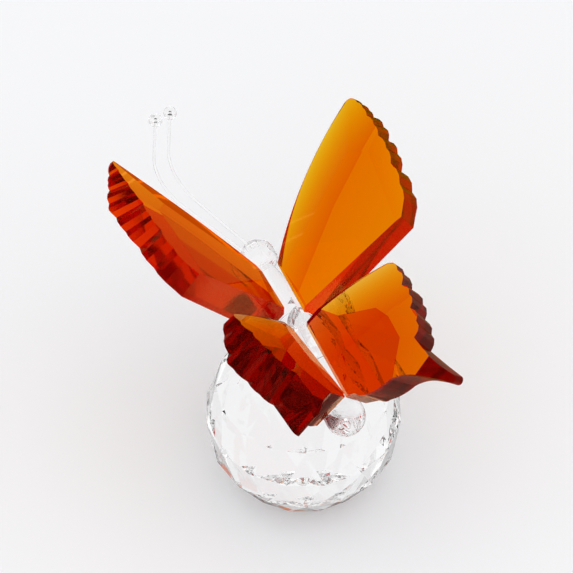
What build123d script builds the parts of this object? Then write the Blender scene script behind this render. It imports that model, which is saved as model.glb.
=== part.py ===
from build123d import *
import math
import os

# A cut glass butterfly glued on a faceted crystal ball. Millimetres.
# Origin at the centre of the ball's resting face, X to the butterfly's right,
# Y forward towards its head, Z up.

# Crystal ball
ball_radius = 20.0
ball_foot_radius = 8.8
ball_table_radius = 5.2
ball_facet_count = 16
ball_pole_facet_count = 8
ball_band_count = 6

# Adhesive
bond_thickness = 0.15

# Body, a blown teardrop lying along Y and nose up by a little
belly_drop = 3.14
body_pitch_degrees = 2.5
body_radius = 3.95
tail_cap_y = -18.4
shoulder_y = 9.0
neck_y = 20.2
neck_radius = 2.1
seat_depth = 3.3
seat_angle_degrees = 45.0
seat_end_margin = 0.6

# Head bead, cut with one row of long facets between two rows of triangles
head_radius = 4.0
head_half_length = 3.5
head_facet_count = 10
head_belt_half_width = 1.55

# Antennae, stiff filaments that run level and then turn up
antenna_diameter = 0.6
antenna_side_count = 12
antenna_hole_clearance = 0.12
antenna_hole_depth = 2.2
antenna_spacing = 1.7
antenna_lean_right_degrees = 22.0
antenna_lean_left_degrees = 26.0
antenna_bend_reach = 27.6
antenna_bend_height = 2.4
antenna_bend_radius = 8.0
antenna_lean_back = 1.4
antenna_top_height = 22.0

# Antenna tips
tip_radius = 1.4
tip_half_length = 1.15
tip_belt_half_width = 0.5
tip_facet_count = 8
tip_hole_depth = 0.9
tip_hole_clearance = 0.05

# Forewing. The wing frame has x out along the slope, y forward and z out of the upper face.
# A point is a pair of shares of the span, out and forward. The lower outline is smaller than
# the upper one, and its notches lie further forward.
fore_span = 36.0
fore_thickness = 7.8
fore_dihedral_degrees = 49.3
fore_nose_down_degrees = 1.8
fore_rise_at_middle = 2.5
fore_root_gap = 2.0
fore_root_front_shares = (0.0, 0.453)
fore_root_rear_shares = (0.0, 0.164)
fore_tip_shares = (0.9, 0.95)
fore_rim_start_shares = (0.992, 0.867)
fore_rim_end_shares = (0.897, 0.108)
fore_trailing_end_shares = (0.861, 0.069)
fore_under_rim_start_shares = (0.958, 0.914)
fore_under_rim_end_shares = (0.828, 0.142)
fore_under_trailing_end_shares = (0.789, 0.106)
fore_leading_bow = 3.4
fore_tip_bow = 1.1
fore_rim_bow = 1.8
fore_under_rim_bow = 1.0
fore_notch_shares = (0.18, 0.39, 0.64, 1.0)
fore_scallop_share = 0.045
fore_flute_share = 0.045
fore_under_notch_shares = (0.09, 0.32, 0.61, 1.0)
fore_under_scallop_share = 0.075
fore_under_flute_share = 0.09

# Hindwing
hind_span = 25.0
hind_thickness = 8.5
hind_dihedral_degrees = 48.1
hind_nose_down_degrees = 1.4
hind_rise_at_middle = 6.8
hind_root_gap = 0.5
hind_root_front_shares = (-0.12, 0.056)
hind_root_rear_shares = (-0.12, -0.656)
hind_shoulder_shares = (0.832, -0.128)
hind_rim_end_shares = (0.72, -0.816)
hind_under_shoulder_shares = (0.756, -0.064)
hind_under_rim_end_shares = (0.616, -0.784)
hind_leading_bow = 0.9
hind_rim_bow = 1.7
hind_under_rim_bow = 1.1
hind_notch_shares = (0.37, 0.66, 1.0)
hind_under_notch_shares = (0.31, 0.66, 1.0)
hind_scallop_share = 0.1
hind_flute_share = 0.125
hind_tail_outer_shares = (0.732, -0.96)
hind_under_tail_outer_shares = (0.672, -0.976)
hind_tail_tip_shares = (0.728, -1.15)
hind_tail_inner_shares = (0.652, -1.15)
hind_tail_inner_root_shares = (0.56, -1.052)
hind_inner_notch_shares = (0.376, -0.936)
hind_inner_corner_shares = (0.136, -0.86)
hind_inner_root_shares = (0.04, -0.76)
hind_tail_bow = 0.9
hind_inner_bow = 0.35
hind_under_inset_shares = (-0.02, 0.036)

# Facets ground on the wings: flat cuts in each flute of the rims, then the corners of the
# table on the upper face and of the ridge on the lower one, and how steeply each facet falls
# away outside the line between two of them
flute_cut_count = 3
fore_table_root_shares = (0.094, 0.447)
fore_table_front_shares = (0.8, 0.65)
fore_table_outer_shares = (0.903, 0.542)
fore_table_rear_shares = (0.828, 0.106)
fore_leading_fall_degrees = 12.0
fore_tip_fall_degrees = 9.0
fore_outer_fall_degrees = 11.0
fore_point_front_shares = (0.861, 0.897)
fore_point_outer_shares = (1.028, 0.833)
fore_point_fall_degrees = 26.0
fore_under_root_shares = (0.028, 0.347)
fore_under_middle_shares = (0.5, 0.569)
fore_under_tip_shares = (0.875, 0.681)
fore_under_root_fall_degrees = 33.0
fore_under_tip_fall_degrees = 30.0
fore_under_rear_fall_degrees = 3.7

hind_table_root_front_shares = (0.264, -0.168)
hind_table_root_rear_shares = (0.288, -0.92)
hind_table_front_shares = (0.572, -0.384)
hind_table_outer_shares = (0.624, -0.52)
hind_table_low_shares = (0.616, -0.732)
hind_table_rear_shares = (0.456, -0.88)
hind_root_fall_degrees = 9.0
hind_leading_fall_degrees = 11.0
hind_outer_fall_degrees = 10.0
hind_low_fall_degrees = 10.0
hind_tail_line_outer_shares = (0.8, -0.944)
hind_tail_line_inner_shares = (0.544, -1.024)
hind_tail_fall_degrees = 52.0
hind_under_root_shares = (-0.12, -0.28)
hind_under_tip_shares = (0.88, -0.4)
hind_under_fall_degrees = 33.0

# The left wings were cut and glued a little unlike a true mirror image of the right ones
fore_left_tip_shares = (0.933, 0.997)
fore_left_under_rim_start_shares = (0.986, 0.939)
fore_left_leading_bow = 3.5
fore_left_point_fall_degrees = 14.0
fore_left_turn_degrees = (-1.8, -0.1, 1.2)
fore_left_forward = 0.9
fore_left_lift = 0.2
fore_left_pivot_y = 12.0
hind_left_under_shoulder_shares = (0.848, -0.088)
hind_left_under_rim_bow = 2.0
hind_left_tail_inset_shares = (-0.08, 0.06)
hind_left_turn_degrees = (-4.6, 1.4, 6.6)
hind_left_outward = 1.0
hind_left_back = 0.3
hind_left_pivot_y = -8.0

# Heights that follow from the sizes above
ball_height = math.sqrt(ball_radius**2 - ball_foot_radius**2)
ball_table_height = math.sqrt(ball_radius**2 - ball_table_radius**2)
body_axis_height = ball_table_height + bond_thickness + belly_drop
belly_height = ball_height + ball_table_height + bond_thickness
head_y = neck_y + bond_thickness + head_half_length


def chord_radius(radius, height):
    """The radius of a sphere's slice at a height from its centre."""
    return math.sqrt(radius**2 - height**2)


def ring(radius, height, count, turn_shares=0.0):
    """Points round the Z axis, turned by a share of one step."""
    step = 2 * math.pi / count
    angles = [(k + turn_shares) * step for k in range(count)]
    return [(radius * math.cos(a), radius * math.sin(a), height) for a in angles]


def faceted_ball():
    """Flat triangles between rings of points on a sphere, with a foot and a table."""
    low = -math.asin(ball_height / ball_radius)
    high = math.asin(ball_table_height / ball_radius)
    points = []
    for band in range(ball_band_count + 1):
        latitude = low + (high - low) * band / ball_band_count
        at_pole = band in (0, ball_band_count)
        count = ball_pole_facet_count if at_pole else ball_facet_count
        turn = 0.25 if at_pole else 0.5 * (band % 2)
        points += ring(ball_radius * math.cos(latitude), ball_radius * math.sin(latitude), count, turn)
    return ConvexPolyhedron(points)


def faceted_bead(radius, half_length, belt_half_width, count):
    """A round bead along Z with a belt of long facets and flat ends."""
    end_radius = chord_radius(radius, half_length)
    belt_radius = chord_radius(radius, belt_half_width)
    points = ring(end_radius, -half_length, count)
    points += ring(belt_radius, -belt_half_width, count, 0.5)
    points += ring(belt_radius, belt_half_width, count, 0.5)
    points += ring(end_radius, half_length, count)
    return ConvexPolyhedron(points)


def in_place(shape):
    """From the body's own frame to the frame of the whole ornament."""
    return Pos(Z=ball_height) * Rot(X=body_pitch_degrees) * shape


def body_blank():
    """The blown teardrop before grinding, with its round tail towards -Y."""
    tail = CenterArc((0, tail_cap_y), body_radius, -90, 90)
    barrel = Line(tail @ 1, (body_radius, shoulder_y))
    shoulder = Spline(
        barrel @ 1,
        (neck_radius, neck_y),
        tangents=[(0, 1), (neck_radius - body_radius, neck_y - shoulder_y)],
    )
    front = Line(shoulder @ 1, (0, neck_y))
    middle = Line(front @ 1, tail @ 0)
    profile = make_face(Curve() + [tail, barrel, shoulder, front, middle])
    return Pos(Z=body_axis_height) * revolve(profile, Axis.Y)


def bowed(start, end, bow):
    """An arc from start to end that bulges by bow to the left of the straight line."""
    run = (end - start).normalized()
    middle = (start + end) * 0.5 + Vector(-run.Y, run.X) * bow
    return ThreePointArc(start, middle, end)


def beside(curve, share, height):
    """A point on the left of a curve, at a share of its length."""
    run = curve % share
    return curve @ share + Vector(-run.Y, run.X) * height


def fluted(rim, notch_shares, scallop_share, flute_share):
    """Scallops outside a rim: each lobe is two flutes of flat cuts with a groove between them."""
    points = [rim @ 0]
    start_share = 0.0
    for end_share in notch_shares:
        lobe_share = end_share - start_share
        for cut in range(1, 2 * flute_cut_count + 1):
            share = cut / (2 * flute_cut_count)
            lobe = flute_share * math.sin(math.pi * share)
            flutes = scallop_share * abs(math.sin(2 * math.pi * share))
            height = rim.length * lobe_share * (lobe + flutes)
            points.append(beside(rim, start_share + lobe_share * share, height))
        start_share = end_share
    return [Line(start, end) for start, end in zip(points, points[1:])]


def ground(wing, start, end, fall_degrees, level, facing):
    """Grind a facet that falls away on the left of the line from start to end."""
    run = (end - start).normalized()
    fall = math.radians(fall_degrees)
    normal = Vector(-run.Y * math.sin(fall), run.X * math.sin(fall), facing * math.cos(fall))
    plane = Plane(origin=(start.X, start.Y, level), z_dir=normal)
    return split(wing, bisect_by=plane, keep=Keep.BOTTOM)


def fore_spot(shares):
    """A point in the forewing's frame from its shares of the span."""
    return Vector(*shares) * fore_span


def hind_spot(shares):
    """A point in the hindwing's frame from its shares of the span."""
    return Vector(*shares) * hind_span


def forewing_outline(leading, rim, trailing_end, notch_shares, scallop_share, flute_share):
    """One level of a forewing: root, leading edge, tip, scalloped rim, corner, trailing edge."""
    root_rear = fore_spot(fore_root_rear_shares)
    edges = [
        Line(root_rear, leading @ 0),
        leading,
        bowed(leading @ 1, rim @ 0, fore_tip_bow),
        *fluted(rim, notch_shares, scallop_share, flute_share),
        Line(rim @ 1, trailing_end),
        Line(trailing_end, root_rear),
    ]
    return make_face(Curve() + edges)


def forewing_blank(tip_shares, under_rim_start_shares, leading_bow, point_fall_degrees):
    """A forewing in the right wing's frame, with the root still too long."""
    leading = bowed(fore_spot(fore_root_front_shares), fore_spot(tip_shares), leading_bow)
    upper_rim = bowed(
        fore_spot(fore_rim_start_shares), fore_spot(fore_rim_end_shares), fore_rim_bow
    )
    under_rim = bowed(
        fore_spot(under_rim_start_shares), fore_spot(fore_under_rim_end_shares), fore_under_rim_bow
    )
    upper = forewing_outline(
        leading,
        upper_rim,
        fore_spot(fore_trailing_end_shares),
        fore_notch_shares,
        fore_scallop_share,
        fore_flute_share,
    )
    lower = forewing_outline(
        leading,
        under_rim,
        fore_spot(fore_under_trailing_end_shares),
        fore_under_notch_shares,
        fore_under_scallop_share,
        fore_under_flute_share,
    )
    wing = loft([upper, Pos(Z=-fore_thickness) * lower], ruled=True)
    upper_facets = [
        (fore_table_root_shares, fore_table_front_shares, fore_leading_fall_degrees),
        (fore_table_front_shares, fore_table_outer_shares, fore_tip_fall_degrees),
        (fore_point_front_shares, fore_point_outer_shares, point_fall_degrees),
        (fore_table_outer_shares, fore_table_rear_shares, fore_outer_fall_degrees),
    ]
    for start_shares, end_shares, fall_degrees in upper_facets:
        wing = ground(wing, fore_spot(start_shares), fore_spot(end_shares), fall_degrees, 0, 1)
    under_facets = [
        (fore_under_root_shares, fore_under_middle_shares, fore_under_root_fall_degrees),
        (fore_under_middle_shares, fore_under_tip_shares, fore_under_tip_fall_degrees),
        (fore_under_middle_shares, fore_under_root_shares, fore_under_rear_fall_degrees),
    ]
    for start_shares, end_shares, fall_degrees in under_facets:
        start = fore_spot(start_shares)
        wing = ground(wing, start, fore_spot(end_shares), fall_degrees, -fore_thickness, -1)
    return wing


def hindwing_outline(rim, tail_outer, inset, tail_inset, notch_shares):
    """One level of a hindwing: root, leading edge, scalloped rim, tail and inner edge."""
    root_front = hind_spot(hind_root_front_shares)
    root_rear = hind_spot(hind_root_rear_shares)
    tail_outer = tail_outer + tail_inset * 0.5
    tail_tip = hind_spot(hind_tail_tip_shares) + tail_inset
    tail_inner = hind_spot(hind_tail_inner_shares) + tail_inset
    inner_start = hind_spot(hind_tail_inner_root_shares) + inset
    inner_notch = hind_spot(hind_inner_notch_shares) + inset
    inner_corner = hind_spot(hind_inner_corner_shares) + inset
    inner_root = hind_spot(hind_inner_root_shares)
    edges = [
        Line(root_rear, root_front),
        bowed(root_front, rim @ 0, hind_leading_bow),
        *fluted(rim, notch_shares, hind_scallop_share, hind_flute_share),
        Line(rim @ 1, tail_outer),
        Line(tail_outer, tail_tip),
        bowed(tail_tip, tail_inner, hind_tail_bow),
        Line(tail_inner, inner_start),
        bowed(inner_start, inner_notch, -hind_inner_bow),
        bowed(inner_notch, inner_corner, hind_inner_bow),
        bowed(inner_corner, inner_root, hind_inner_bow),
        Line(inner_root, root_rear),
    ]
    return make_face(Curve() + edges)


def hindwing_blank(under_shoulder_shares, under_rim_bow, tail_inset_shares):
    """A hindwing in the right wing's frame, with the root still too long."""
    tail_inset = hind_spot(tail_inset_shares)
    upper_rim = bowed(
        hind_spot(hind_shoulder_shares), hind_spot(hind_rim_end_shares), hind_rim_bow
    )
    under_rim = bowed(
        hind_spot(under_shoulder_shares), hind_spot(hind_under_rim_end_shares), under_rim_bow
    )
    upper = hindwing_outline(
        upper_rim, hind_spot(hind_tail_outer_shares), Vector(), tail_inset, hind_notch_shares
    )
    lower = hindwing_outline(
        under_rim,
        hind_spot(hind_under_tail_outer_shares),
        hind_spot(hind_under_inset_shares),
        tail_inset,
        hind_under_notch_shares,
    )
    wing = loft([upper, Pos(Z=-hind_thickness) * lower], ruled=True)
    upper_facets = [
        (hind_table_root_rear_shares, hind_table_root_front_shares, hind_root_fall_degrees),
        (hind_table_root_front_shares, hind_table_front_shares, hind_leading_fall_degrees),
        (hind_table_front_shares, hind_table_outer_shares, hind_outer_fall_degrees),
        (hind_table_outer_shares, hind_table_low_shares, hind_outer_fall_degrees),
        (hind_table_low_shares, hind_table_rear_shares, hind_low_fall_degrees),
        (hind_tail_line_outer_shares, hind_tail_line_inner_shares, hind_tail_fall_degrees),
    ]
    for start_shares, end_shares, fall_degrees in upper_facets:
        wing = ground(wing, hind_spot(start_shares), hind_spot(end_shares), fall_degrees, 0, 1)
    ridge_start = hind_spot(hind_under_root_shares)
    ridge_end = hind_spot(hind_under_tip_shares)
    return ground(wing, ridge_start, ridge_end, hind_under_fall_degrees, -hind_thickness, -1)


def placed_wing(blank, dihedral_degrees, nose_down_degrees, height, root_gap):
    """Stand a right wing up on its slope and cut its root along the middle of the body."""
    wing = Pos(Z=height) * Rot(X=-nose_down_degrees) * Rot(Y=-dihedral_degrees) * blank
    return split(wing, bisect_by=Plane((root_gap, 0, 0), z_dir=(1, 0, 0)), keep=Keep.TOP)


def to_the_left(wing, turn_degrees, shift, pivot_y):
    """The mirrored wing at the angle that it was glued at."""
    wing = wing.mirror(Plane.YZ)
    pivot = Vector(0, pivot_y, body_axis_height)
    return Pos(shift + pivot) * Rot(*turn_degrees) * Pos(pivot * -1) * wing


def seat_plane(side, lift):
    """A plane along the body's shoulder on one side, at a lift above the ground seat."""
    angle = math.radians(seat_angle_degrees)
    normal = Vector(side * math.sin(angle), 0, math.cos(angle))
    centre = Vector(0, 0, body_axis_height)
    return Plane(centre + normal * (seat_depth + lift), x_dir=(0, 1, 0), z_dir=normal)


def seated(wing, side):
    """Cut the wing's root flat, so that it lies on its adhesive."""
    return split(wing, bisect_by=seat_plane(side, bond_thickness), keep=Keep.TOP)


def root_bond(wing, body_shape, side):
    """The adhesive between a wing's root and the seat, as wide as both."""
    layer = split(wing, bisect_by=seat_plane(side, 0), keep=Keep.TOP)
    layer = split(layer, bisect_by=seat_plane(side, bond_thickness), keep=Keep.BOTTOM)
    return layer & body_shape


def seat_cut(bond, side):
    """What is ground off the body along one wing's root, with a margin at both ends."""
    size = bond.bounding_box().size
    middle = Pos(X=bond.bounding_box().center().Y)
    cutter = Box(
        size.Y + 2 * seat_end_margin,
        2 * body_radius,
        body_radius,
        align=(Align.CENTER, Align.CENTER, Align.MIN),
    )
    return seat_plane(side, 0) * middle * cutter


def antenna_plane(side, lean_degrees):
    """The upright plane of one antenna, with x forward along its lean and y up."""
    lean = math.radians(lean_degrees)
    forward = Vector(-math.sin(lean), math.cos(lean), 0)
    origin = Vector(side * antenna_spacing / 2, head_y, body_axis_height)
    return Plane(origin, x_dir=forward, z_dir=forward.cross(Vector(0, 0, 1)))


def antenna_pieces(side, lean_degrees, head):
    """One filament, the hole that it is glued in, its adhesive and its tip bead."""
    plane = antenna_plane(side, lean_degrees)
    bend = Vector(antenna_bend_reach, antenna_bend_height)
    top = Vector(antenna_bend_reach - antenna_lean_back, antenna_top_height)
    start = bend.normalized() * (head_radius - antenna_hole_depth)
    path = plane * FilletPolyline(start, bend, top, radius=antenna_bend_radius)
    foot = Plane(path @ 0, z_dir=path % 0)
    end = Plane(path @ 1, z_dir=path % 1)
    radius = antenna_diameter / 2
    filament = sweep(foot * RegularPolygon(radius, antenna_side_count), path)
    hole = foot * Cylinder(
        radius + antenna_hole_clearance,
        2 * antenna_hole_depth,
        align=(Align.CENTER, Align.CENTER, Align.MIN),
    )
    glue = (hole & head) - filament
    tip_hole = Pos(Z=-tip_half_length) * Cylinder(
        radius + tip_hole_clearance, tip_hole_depth, align=(Align.CENTER, Align.CENTER, Align.MIN)
    )
    tip = faceted_bead(tip_radius, tip_half_length, tip_belt_half_width, tip_facet_count) - tip_hole
    tip = end * Pos(Z=tip_half_length - tip_hole_depth) * tip
    return filament, hole, glue, tip


def build():
    """Every piece of the ornament by its name."""
    fore_slope = (
        fore_dihedral_degrees,
        fore_nose_down_degrees,
        body_axis_height + fore_rise_at_middle,
        fore_root_gap,
    )
    fore = placed_wing(
        forewing_blank(
            fore_tip_shares, fore_under_rim_start_shares, fore_leading_bow, fore_point_fall_degrees
        ),
        *fore_slope,
    )
    fore_left = placed_wing(
        forewing_blank(
            fore_left_tip_shares,
            fore_left_under_rim_start_shares,
            fore_left_leading_bow,
            fore_left_point_fall_degrees,
        ),
        *fore_slope,
    )
    fore_left_shift = Vector(0, fore_left_forward, fore_left_lift)
    fore_left = to_the_left(fore_left, fore_left_turn_degrees, fore_left_shift, fore_left_pivot_y)
    hind_slope = (
        hind_dihedral_degrees,
        hind_nose_down_degrees,
        body_axis_height + hind_rise_at_middle,
        hind_root_gap,
    )
    hind = placed_wing(
        hindwing_blank(hind_under_shoulder_shares, hind_under_rim_bow, (0, 0)),
        *hind_slope,
    )
    hind_left = placed_wing(
        hindwing_blank(
            hind_left_under_shoulder_shares, hind_left_under_rim_bow, hind_left_tail_inset_shares
        ),
        *hind_slope,
    )
    hind_left_shift = Vector(-hind_left_outward, -hind_left_back, 0)
    hind_left = to_the_left(hind_left, hind_left_turn_degrees, hind_left_shift, hind_left_pivot_y)
    wings = {
        "forewing_right": (fore, 1),
        "forewing_left": (fore_left, -1),
        "hindwing_right": (hind, 1),
        "hindwing_left": (hind_left, -1),
    }
    pieces = {}
    blank = body_blank()
    body = blank
    for name, (wing, side) in wings.items():
        bond = root_bond(wing, blank, side)
        body = body - seat_cut(bond, side)
        pieces[name] = in_place(seated(wing, side))
        pieces[name.replace("wing_", "wing_bond_")] = in_place(bond)

    head_blank = Pos(0, head_y, body_axis_height) * Rot(X=-90) * faceted_bead(
        head_radius, head_half_length, head_belt_half_width, head_facet_count
    )
    head = head_blank
    leans = {"right": (1, antenna_lean_right_degrees), "left": (-1, antenna_lean_left_degrees)}
    for name, (side, lean) in leans.items():
        filament, hole, glue, tip = antenna_pieces(side, lean, head_blank)
        head = head - hole
        pieces["antenna_" + name] = in_place(filament)
        pieces["antenna_glue_" + name] = in_place(glue)
        pieces["antenna_tip_" + name] = in_place(tip)
    pieces["head_bead"] = in_place(head)

    head_bond_radius = chord_radius(head_radius, head_half_length) * math.cos(math.pi / head_facet_count)
    head_bond = Cylinder(
        head_bond_radius, bond_thickness, align=(Align.CENTER, Align.CENTER, Align.MIN)
    )
    pieces["head_bond"] = in_place(Pos(0, neck_y, body_axis_height) * Rot(X=-90) * head_bond)

    belly = Plane((0, 0, belly_height), z_dir=(0, 0, 1))
    pieces["body"] = split(in_place(body), bisect_by=belly, keep=Keep.TOP)
    ball_bond = Pos(Z=belly_height - bond_thickness) * Cylinder(
        ball_table_radius * math.cos(math.pi / ball_pole_facet_count),
        bond_thickness,
        align=(Align.CENTER, Align.CENTER, Align.MIN),
    )
    pieces["ball_bond"] = ball_bond & in_place(blank)
    pieces["crystal_ball_base"] = Pos(Z=ball_height) * faceted_ball()
    return pieces


os.makedirs("parts", exist_ok=True)
for node, piece in build().items():
    export_step(piece, f"parts/{node}.step")
    print(node, "volume", round(piece.volume, 3))
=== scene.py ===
import math

import bpy
from mathutils import Matrix, Vector


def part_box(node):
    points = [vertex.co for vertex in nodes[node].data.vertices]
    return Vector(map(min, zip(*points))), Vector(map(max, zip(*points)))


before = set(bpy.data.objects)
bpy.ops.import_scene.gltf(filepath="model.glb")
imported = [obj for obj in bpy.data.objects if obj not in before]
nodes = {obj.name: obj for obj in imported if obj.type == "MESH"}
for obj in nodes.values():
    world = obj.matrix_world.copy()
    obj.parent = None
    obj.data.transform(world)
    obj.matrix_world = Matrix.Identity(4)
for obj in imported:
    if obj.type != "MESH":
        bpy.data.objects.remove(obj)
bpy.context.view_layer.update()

# The camera of the photograph looks down on the ornament from behind and a little from its left.
# Lengths are in metres, and the ball's middle is the point that the camera is set out from.
view_elevation = math.radians(48.5)
view_turn = math.radians(23.42)
lens_length = 138.22
sensor_width = 36.0
ball_distance = 0.4458
ball_right_of_axis = 0.003445
ball_below_axis = 0.025735
ball_table_height = 0.01931

# Nodes by what they are made of
forewing_nodes = ["forewing_right", "forewing_left"]
hindwing_nodes = ["hindwing_right", "hindwing_left"]
cut_crystal_nodes = ["crystal_ball_base", "head_bead", "antenna_tip_right", "antenna_tip_left"]
blown_glass_nodes = ["body"]
filament_nodes = ["antenna_right", "antenna_left"]
adhesive_nodes = [
    "forewing_bond_right", "forewing_bond_left", "hindwing_bond_right", "hindwing_bond_left",
    "ball_bond", "head_bond", "antenna_glue_right", "antenna_glue_left",
]

# Glass: the amber loses little red, more green and most blue on each millimetre of the way
crystal_index = 1.53
clear_skin = (1.0, 1.0, 1.0, 1.0)
amber_reflection_tint = (1.0, 0.35, 0.2, 1.0)
amber_loss_per_mm = {
    "forewing_right": (0.015, 0.17, 1.0),
    "forewing_left": (0.015, 0.07, 0.6),
    "hindwing_right": (0.02, 0.20, 1.0),
    "hindwing_left": (0.03, 0.22, 1.0),
}
mm_per_metre = 1000

# Painted light and shade: each kind of surface on a wing tints the light that crosses it with a
# colour picked by which way it faces, so walls and steep facets are painted darker in place of the
# shade that light through the glass gives them. A coat tints all of them
# Painted light and shade: the colour of each wing's widest flat facet, its table
table_painted_light_and_shade = {
    "forewing_right": (1.0, 1.0, 0.8, 1.0),
    "forewing_left": (0.95, 0.55, 0.4, 1.0),
    "hindwing_right": (0.70, 0.12, 0.2, 1.0),
    "hindwing_left": (0.80, 0.25, 0.3, 1.0),
}
# Painted shade: a dark red on each hindwing's root facet
root_facet_painted_shade = {
    "hindwing_right": (0.75, 0.07, 0.2, 1.0),
    "hindwing_left": (0.65, 0.10, 0.2, 1.0),
}
facet_skin = (1.0, 1.0, 0.8, 1.0)
# Painted shade: darker colours on the steep facets
steep_facet_painted_shade = {
    "forewing_right": (0.86, 0.46, 0.3, 1.0),
    "forewing_left": (1.0, 0.35, 0.15, 1.0),
    "hindwing_right": (0.95, 0.70, 0.40, 1.0),
    "hindwing_left": (0.94, 0.60, 0.35, 1.0),
}
# Painted shade: the walls are painted dark in place of the dark that light through thick glass
# gives them
wall_painted_shade = {
    "forewing_right": (0.50, 0.14, 0.09, 1.0),
    "forewing_left": (1.0, 0.04, 0.04, 1.0),
    "hindwing_right": (0.30, 0.16, 0.16, 1.0),
    "hindwing_left": (0.42, 0.14, 0.14, 1.0),
}
# Painted shade: a darker red painted on a forewing's rear wall
trailing_wall_painted_shade = {
    "forewing_right": (0.95, 0.12, 0.03, 1.0),
    "forewing_left": (0.45, 0.02, 0.01, 1.0),
}
coat_tint = {
    "forewing_right": (1.0, 0.92, 0.35, 1.0),
    "forewing_left": (1.0, 0.85, 0.50, 1.0),
    "hindwing_right": (1.0, 0.93, 0.85, 1.0),
    "hindwing_left": (1.0, 0.93, 0.85, 1.0),
}
coat_weight = 1.0
coat_index = 1.0
wall_roughness = 0.12

# How a surface is told apart for its roughness and its painted shade: the cosine of its lean from
# the table, or its distance from the plane of one facet, or for a forewing's rear wall its lean
# from the butterfly's backward way
lean_of_walls = 0.70
lean_of_steep_facets = (0.76, 0.90)
lean_of_facets = 0.96
facet_plane_depth = 0.00003
way_digits = 3
trailing_way = Vector((0.0, -1.0, 0.0))
trailing_wall_lean = 1.0
trailing_wall_reach = 0.05

# The adhesive is drawn in a little, because light gets lost where two faces lie in one place
adhesive_gap = 0.00002

# Fine marks that grinding and polishing leave on the glass
mark_spacing = 0.0025
mark_detail = 3.0
mark_strength = 1.0
mark_depth = 0.000002

# Studio: a pale floor under a soft white sky, which lights the floor most from behind the
# butterfly. Through glass the sky is dimmer near the horizon, and reflections show it dark.
floor_half_width = 2.0
floor_colour = (0.925, 0.93, 0.945, 1.0)
floor_through_glass = (0.93, 0.93, 0.94, 1.0)
floor_in_reflections = (0.25, 0.25, 0.25, 1.0)
floor_light_way = (-0.25, -0.80, 0.80)
floor_light_sides = (0.0, 1.0)
floor_light = (0.12, 1.86)
sky_colour = (1.0, 1.0, 1.0, 1.0)
sky_seen_directly = 1.0
sky_in_reflections = 0.04
sky_heights = (0.25, 0.45)
sky_light = (0.7, 1.2)

light_bounces = 32
reflection_bounces = 24
transparent_bounces = 16


def new_material(name):
    material = bpy.data.materials.new(name)
    material.use_nodes = True
    material.node_tree.nodes.clear()
    return material, material.node_tree.nodes, material.node_tree.links


def along(parts, links, output, way):
    """The share of a coordinate output that runs in one direction."""
    place = parts.new("ShaderNodeTexCoord")
    length = parts.new("ShaderNodeVectorMath")
    length.operation = "DOT_PRODUCT"
    length.inputs[1].default_value = way
    links.new(place.outputs[output], length.inputs[0])
    return length.outputs["Value"]


def spread(parts, links, measured, limits, results):
    """Turn a value between two limits into one between two results."""
    change = parts.new("ShaderNodeMapRange")
    change.inputs["From Min"].default_value = limits[0]
    change.inputs["From Max"].default_value = limits[1]
    change.inputs["To Min"].default_value = results[0]
    change.inputs["To Max"].default_value = results[1]
    links.new(measured, change.inputs["Value"])
    return change.outputs["Result"]


def blend(parts, links, factor, first, second):
    mix = parts.new("ShaderNodeMix")
    mix.data_type = "FLOAT"
    links.new(factor, mix.inputs["Factor"])
    for socket, value in (("A", first), ("B", second)):
        if isinstance(value, float):
            mix.inputs[socket].default_value = value
        else:
            links.new(value, mix.inputs[socket])
    return mix.outputs["Result"]


def polish_marks(parts, links):
    place = parts.new("ShaderNodeTexCoord")
    noise = parts.new("ShaderNodeTexNoise")
    noise.inputs["Scale"].default_value = 1 / mark_spacing
    noise.inputs["Detail"].default_value = mark_detail
    links.new(place.outputs["Object"], noise.inputs["Vector"])
    bump = parts.new("ShaderNodeBump")
    bump.inputs["Strength"].default_value = mark_strength
    bump.inputs["Distance"].default_value = mark_depth
    links.new(noise.outputs["Fac"], bump.inputs["Height"])
    return bump.outputs["Normal"]


def glass_surface(parts, links, skin):
    surface = parts.new("ShaderNodeBsdfPrincipled")
    surface.inputs["Base Color"].default_value = skin
    surface.inputs["Transmission Weight"].default_value = 1.0
    surface.inputs["IOR"].default_value = crystal_index
    surface.inputs["Roughness"].default_value = 0.0
    links.new(polish_marks(parts, links), surface.inputs["Normal"])
    output = parts.new("ShaderNodeOutputMaterial")
    links.new(surface.outputs["BSDF"], output.inputs["Surface"])
    return surface, output


def clear_glass(name):
    material, parts, links = new_material(name)
    glass_surface(parts, links, clear_skin)
    return material


# Painted shade: surfaces that lean further from the table get a darker colour
def painted_shade_by_lean(parts, links, name, lean):
    skin = parts.new("ShaderNodeValToRGB")
    stops = skin.color_ramp.elements
    stops[0].position = lean_of_walls
    stops[0].color = wall_painted_shade[name]
    stops[1].position = lean_of_facets
    stops[1].color = facet_skin
    for position in lean_of_steep_facets:
        stops.new(position).color = steep_facet_painted_shade[name]
    links.new(lean, skin.inputs["Fac"])
    return skin.outputs["Color"]


def lay_over(parts, links, under, skin, measured, level, reach):
    """Another painted colour of light and shade wherever the measured value is within reach of a
    level.
    """
    near = parts.new("ShaderNodeMath")
    near.operation = "COMPARE"
    near.inputs[1].default_value = level
    near.inputs[2].default_value = reach
    links.new(measured, near.inputs[0])
    both = parts.new("ShaderNodeMix")
    both.data_type = "RGBA"
    links.new(near.outputs["Value"], both.inputs["Factor"])
    links.new(under, both.inputs["A"])
    both.inputs["B"].default_value = skin
    return both.outputs["Result"]


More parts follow.
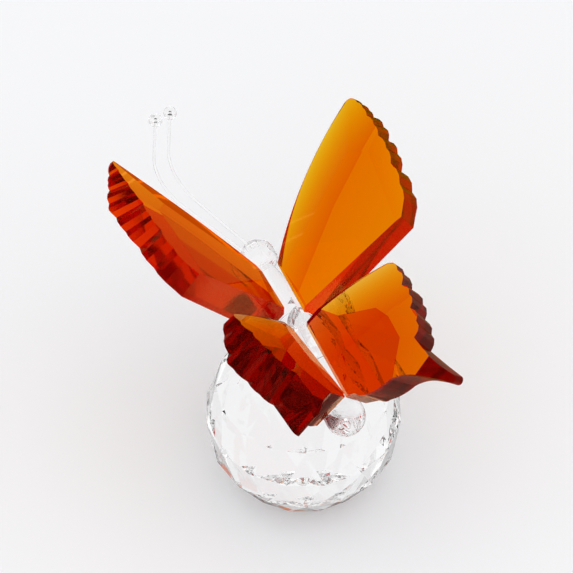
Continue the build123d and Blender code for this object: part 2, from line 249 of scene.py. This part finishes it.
# All painted light and shade of a wing: by lean, then on its table and root facets, then on a
# forewing's rear wall
def wing_painted_shading(parts, links, name, lean, painted_facet_shading):
    colour = painted_shade_by_lean(parts, links, name, lean)
    for way, level, skin in painted_facet_shading:
        height = along(parts, links, "Object", way)
        colour = lay_over(parts, links, colour, skin, height, level, facet_plane_depth)
    if name in trailing_wall_painted_shade:
        skin = trailing_wall_painted_shade[name]
        turn = along(parts, links, "Normal", trailing_way)
        colour = lay_over(parts, links, colour, skin, turn, trailing_wall_lean, trailing_wall_reach)
    return colour


def amber_inside(parts, name):
    inside = parts.new("ShaderNodeVolumeAbsorption")
    losses = amber_loss_per_mm[name]
    strongest = max(losses)
    inside.inputs["Color"].default_value = [1 - loss / strongest for loss in losses] + [1.0]
    inside.inputs["Density"].default_value = strongest * mm_per_metre
    return inside.outputs["Volume"]


def amber_glass(name, table_way, painted_facet_shading):
    material, parts, links = new_material("amber_" + name)
    surface, output = glass_surface(parts, links, facet_skin)
    surface.inputs["Specular Tint"].default_value = amber_reflection_tint
    surface.inputs["Coat Weight"].default_value = coat_weight
    surface.inputs["Coat IOR"].default_value = coat_index
    surface.inputs["Coat Tint"].default_value = coat_tint[name]
    size = parts.new("ShaderNodeMath")
    size.operation = "ABSOLUTE"
    links.new(along(parts, links, "Normal", table_way), size.inputs[0])
    lean = size.outputs["Value"]
    wall_limits = (lean_of_walls, lean_of_steep_facets[0])
    roughness = spread(parts, links, lean, wall_limits, (wall_roughness, 0.0))
    links.new(roughness, surface.inputs["Roughness"])
    # Painted light and shade become the wing's base colour
    links.new(wing_painted_shading(parts, links, name, lean, painted_facet_shading), surface.inputs["Base Color"])
    links.new(amber_inside(parts, name), output.inputs["Volume"])
    return material


def is_upward(way):
    return way.z > 0


def is_downward(way):
    return way.z < 0


def widest_way(node, is_wanted):
    """The direction that the most surface faces, among the wanted directions."""
    areas = {}
    for face in node.data.polygons:
        if is_wanted(face.normal):
            way = tuple(round(part, way_digits) for part in face.normal)
            areas[way] = areas.get(way, 0.0) + face.area
    widest = max(areas, key=areas.get)
    return Vector(widest).normalized()


def facet_in(name, way, skins):
    """The outermost flat facet in one direction, with its painted colour of light and shade."""
    level = max(corner.co.dot(way) for corner in nodes[name].data.vertices)
    return way, level, skins[name]


def dress(names, material):
    for name in names:
        node = nodes[name]
        node.data.materials.clear()
        node.data.materials.append(material)


def dress_forewings():
    for name in forewing_nodes:
        table_way = widest_way(nodes[name], is_upward)
        painted_facet_shading = [facet_in(name, table_way, table_painted_light_and_shade)]
        dress([name], amber_glass(name, table_way, painted_facet_shading))


def dress_hindwings():
    for name in hindwing_nodes:
        table_way = -widest_way(nodes[name], is_downward)
        root_way = widest_way(nodes[name], is_upward)
        painted_facet_shading = [
            facet_in(name, table_way, table_painted_light_and_shade),
            facet_in(name, root_way, root_facet_painted_shade),
        ]
        dress([name], amber_glass(name, table_way, painted_facet_shading))


def part_the_adhesive():
    for name in adhesive_nodes:
        gap = nodes[name].modifiers.new("gap", "DISPLACE")
        gap.strength = -adhesive_gap
        gap.mid_level = 0.0


def floor_material():
    material, parts, links = new_material("floor")
    path = parts.new("ShaderNodeLightPath")
    plain = parts.new("ShaderNodeBsdfDiffuse")
    plain.inputs["Color"].default_value = floor_colour
    dim = parts.new("ShaderNodeBsdfDiffuse")
    dim.inputs["Color"].default_value = floor_in_reflections
    reflected = parts.new("ShaderNodeMath")
    reflected.operation = "SUBTRACT"
    reflected.use_clamp = True
    links.new(path.outputs["Is Glossy Ray"], reflected.inputs[0])
    links.new(path.outputs["Is Transmission Ray"], reflected.inputs[1])
    either = parts.new("ShaderNodeMixShader")
    links.new(reflected.outputs["Value"], either.inputs["Fac"])
    links.new(plain.outputs["BSDF"], either.inputs[1])
    links.new(dim.outputs["BSDF"], either.inputs[2])
    lit = parts.new("ShaderNodeEmission")
    lit.inputs["Color"].default_value = floor_through_glass
    through = parts.new("ShaderNodeMixShader")
    links.new(path.outputs["Is Transmission Ray"], through.inputs["Fac"])
    links.new(either.outputs["Shader"], through.inputs[1])
    links.new(lit.outputs["Emission"], through.inputs[2])
    output = parts.new("ShaderNodeOutputMaterial")
    links.new(through.outputs["Shader"], output.inputs["Surface"])
    return material


def add_floor():
    bpy.ops.mesh.primitive_plane_add(size=2 * floor_half_width)
    floor = bpy.context.object
    floor.name = "floor"
    floor.data.materials.append(floor_material())


def add_sky():
    world = bpy.data.worlds.new("studio")
    world.use_nodes = True
    bpy.context.scene.world = world
    parts = world.node_tree.nodes
    links = world.node_tree.links
    background = parts["Background"]
    background.inputs["Color"].default_value = sky_colour
    path = parts.new("ShaderNodeLightPath")
    height = along(parts, links, "Generated", (0.0, 0.0, 1.0))
    through_glass = spread(parts, links, height, sky_heights, sky_light)
    side = along(parts, links, "Generated", Vector(floor_light_way).normalized())
    on_floor = spread(parts, links, side, floor_light_sides, floor_light)
    reflected = path.outputs["Is Glossy Ray"]
    seen = blend(parts, links, reflected, sky_seen_directly, sky_in_reflections)
    seen = blend(parts, links, path.outputs["Is Transmission Ray"], seen, through_glass)
    seen = blend(parts, links, path.outputs["Diffuse Depth"], seen, on_floor)
    links.new(seen, background.inputs["Strength"])


def add_camera():
    forward = Vector((
        math.cos(view_elevation) * math.sin(view_turn),
        math.cos(view_elevation) * math.cos(view_turn),
        -math.sin(view_elevation),
    ))
    right = Vector((math.cos(view_turn), -math.sin(view_turn), 0))
    up = right.cross(forward)
    low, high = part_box("crystal_ball_base")
    centre = Vector((0, 0, high.z - ball_table_height))
    data = bpy.data.cameras.new("camera")
    data.lens = lens_length
    data.sensor_width = sensor_width
    camera = bpy.data.objects.new("camera", data)
    bpy.context.scene.collection.objects.link(camera)
    place = centre - forward * ball_distance - right * ball_right_of_axis + up * ball_below_axis
    turn = Matrix((right, up, -forward)).transposed().to_4x4()
    camera.matrix_world = Matrix.Translation(place) @ turn
    bpy.context.scene.camera = camera


def set_light_paths():
    scene = bpy.context.scene
    scene.view_settings.view_transform = "Standard"
    scene.cycles.max_bounces = light_bounces
    scene.cycles.transmission_bounces = light_bounces
    scene.cycles.glossy_bounces = reflection_bounces
    scene.cycles.transparent_max_bounces = transparent_bounces


dress_forewings()
dress_hindwings()
dress(cut_crystal_nodes, clear_glass("cut_crystal"))
dress(blown_glass_nodes, clear_glass("blown_glass"))
dress(filament_nodes, clear_glass("filament"))
dress(adhesive_nodes, clear_glass("clear_adhesive"))
part_the_adhesive()
add_floor()
add_sky()
add_camera()
set_light_paths()
